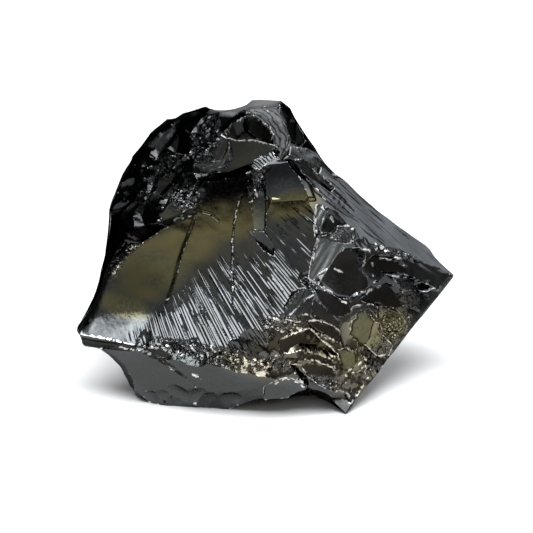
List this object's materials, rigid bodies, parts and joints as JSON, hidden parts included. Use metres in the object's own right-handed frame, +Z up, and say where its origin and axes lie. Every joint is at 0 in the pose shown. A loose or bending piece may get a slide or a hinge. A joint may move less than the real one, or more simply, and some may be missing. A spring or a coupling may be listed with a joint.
{
  "type": "shungite nugget",
  "caption": "Broken nugget of glossy black stone with a concave striated face, shell-like scars and crumbled ridges, lying on a flat spot.",
  "frame": {"origin": "middle of the stone's outline, on the surface that it rests on", "axes": "+X along the longest extent, to the right as the striated face is looked at; +Y away from the viewer; +Z up"},
  "size_m": [0.0486, 0.0308, 0.0351],
  "materials": {
    "shungite": "glossy black with a metallic sheen and a faint olive-bronze tint"
  },
  "bodies": {
    "root": {"nugget": "shungite"}
  },
  "joints": []
}
